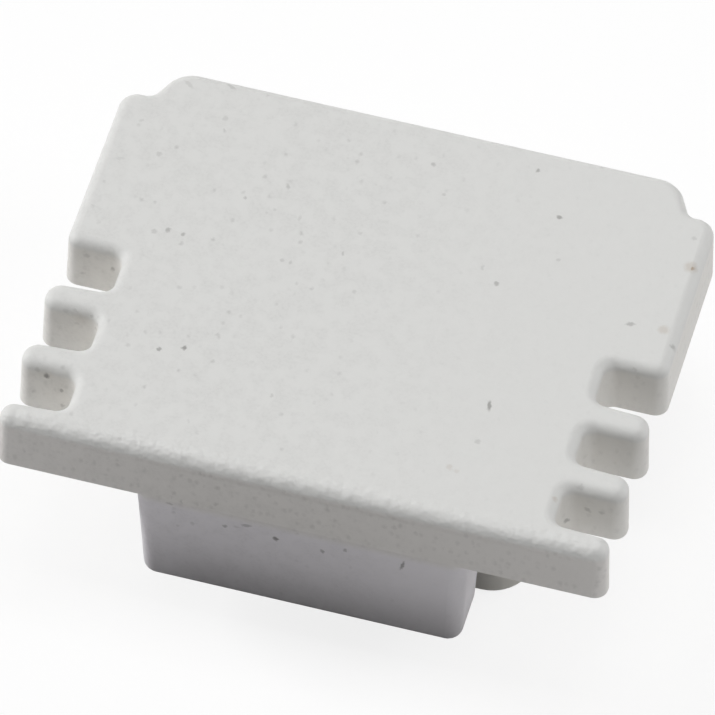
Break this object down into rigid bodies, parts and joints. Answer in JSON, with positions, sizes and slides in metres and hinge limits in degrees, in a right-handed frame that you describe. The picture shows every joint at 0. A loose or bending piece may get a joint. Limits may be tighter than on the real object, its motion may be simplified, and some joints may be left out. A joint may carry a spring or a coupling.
{
  "type": "profile end cap",
  "caption": "Moulded end cap for a finned channel-section lighting profile: a notched cover plate with a solid plug and a hollow collar on its back.",
  "frame": {"origin": "middle of the seating face, the back plane of the cover plate that lies against the sawn end of the profile", "axes": "+Z out of the visible face, +Y from the base edge towards the stepped far edge, +X across the width"},
  "size_m": [0.0202, 0.016, 0.0085],
  "materials": {
    "end_cap": "matt, fine spark-eroded grain"
  },
  "bodies": {
    "root": {"end_cap": "end_cap"}
  },
  "joints": []
}
